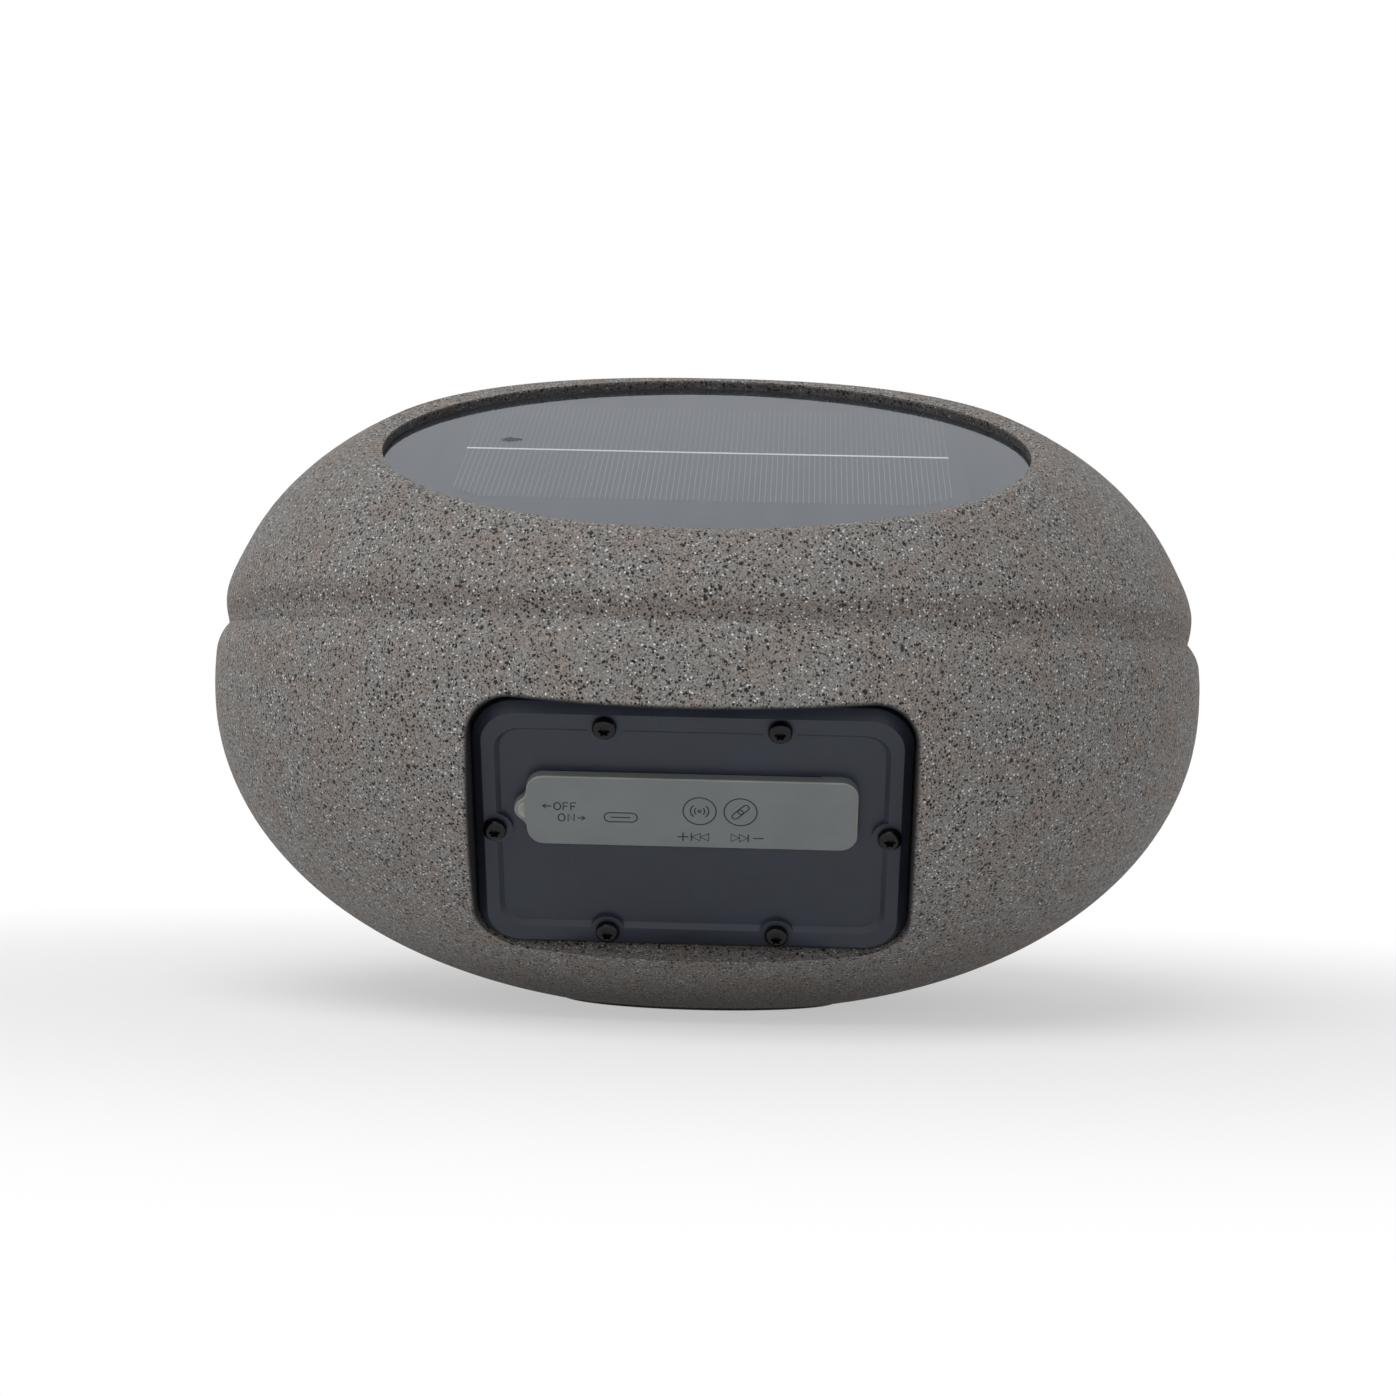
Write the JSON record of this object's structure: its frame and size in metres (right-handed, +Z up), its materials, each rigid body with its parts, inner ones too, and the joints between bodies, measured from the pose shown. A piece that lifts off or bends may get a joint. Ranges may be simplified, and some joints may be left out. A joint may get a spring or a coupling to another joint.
{
  "type": "garden speaker",
  "caption": "Stone-look pebble garden speaker with a sloping solar panel on top, a rear control plate under a rubber flap and a front grille.",
  "frame": {"origin": "on the floor under the middle of the body, at the centre of the foot", "axes": "+Z up, -Y towards the rear control plate, +Y towards the front grille, +X to the right seen from the rear"},
  "size_m": [0.25, 0.25, 0.1603],
  "materials": {
    "stone": "stone-look speckled, matt",
    "rubber_black": "matt",
    "steel": "plain zinc",
    "black_screw": "black oxide",
    "clear_cover": "clear, glossy",
    "cell": "dark silicon with fine pale lines",
    "ribbon": "tinned copper",
    "board": "solder mask",
    "adhesive": "adhesive foam",
    "plate": "satin, moulded",
    "flap_rubber": "grey-green, matt",
    "black_plastic": "matt",
    "white_plastic": "satin",
    "grille_metal": "powder coat",
    "paper": "coated paper",
    "coil": "enamelled wire",
    "spider_cloth": "treated cloth",
    "ferrite": "ferrite",
    "battery_wrap": "shrink film",
    "lead": "insulation"
  },
  "bodies": {
    "body": {"lower_shell": "stone", "upper_shell": "stone", "screw_plugs": "stone", "seam_gasket": "rubber_black", "foot_pad": "rubber_black", "plate_gasket": "rubber_black", "driver_gasket": "rubber_black", "driver_surround": "rubber_black", "shell_screws": "steel", "board_screws": "steel", "bracket_screws": "steel", "driver_screws": "steel", "battery_bracket": "steel", "driver_basket": "steel", "driver_top_plate": "steel", "driver_yoke": "steel", "charge_socket_shell": "steel", "plate_screws": "black_screw", "solar_cover": "clear_cover", "solar_cell": "cell", "cell_ribbon": "ribbon", "solar_backboard": "board", "control_board": "board", "radio_module": "board", "solar_seal": "adhesive", "control_plate": "plate", "port_flap_anchor": "flap_rubber", "charge_socket_tongue": "black_plastic", "power_switch_case": "black_plastic", "button_switches": "black_plastic", "board_parts": "black_plastic", "grille_cloth": "black_plastic", "lead_connectors": "white_plastic", "grille": "grille_metal", "driver_spider": "spider_cloth", "driver_magnet": "ferrite", "battery_pack": "battery_wrap", "solar_lead": "lead", "driver_lead": "lead", "battery_lead": "lead"},
    "flap": {"port_flap": "flap_rubber"},
    "switch_slider": {"power_switch_slider": "black_plastic"},
    "pair_button": {"pair_button": "black_plastic"},
    "link_button": {"link_button": "black_plastic"},
    "cone": {"driver_cone": "paper", "dust_cap": "paper", "voice_coil": "coil"}
  },
  "joints": [
    {"name": "flap_hinge", "type": "hinge", "parent": "body", "child": "flap", "pos_m": [0.029, -0.09926, 0.04998], "axis": [0, -0.5592, 0.829], "range_deg": [0, 110], "stiffness_Nm_per_rad": 0.02, "springref_deg": -11.46},
    {"name": "power_slide", "type": "slide", "parent": "body", "child": "switch_slider", "axis": [1, 0, 0], "range_m": [-0.002, 0.002]},
    {"name": "pair_press", "type": "slide", "parent": "body", "child": "pair_button", "axis": [0, 0.829, 0.5592], "range_m": [0, 0.0005], "stiffness_N_per_m": 400, "springref_m": -0.0005},
    {"name": "link_press", "type": "slide", "parent": "body", "child": "link_button", "axis": [0, 0.829, 0.5592], "range_m": [0, 0.0005], "stiffness_N_per_m": 400, "springref_m": -0.0005},
    {"name": "cone_stroke", "type": "slide", "parent": "body", "child": "cone", "axis": [0, 0.6479, 0.7617], "range_m": [-0.002, 0.002], "stiffness_N_per_m": 1200, "deforming": ["driver_surround", "driver_spider"]}
  ]
}
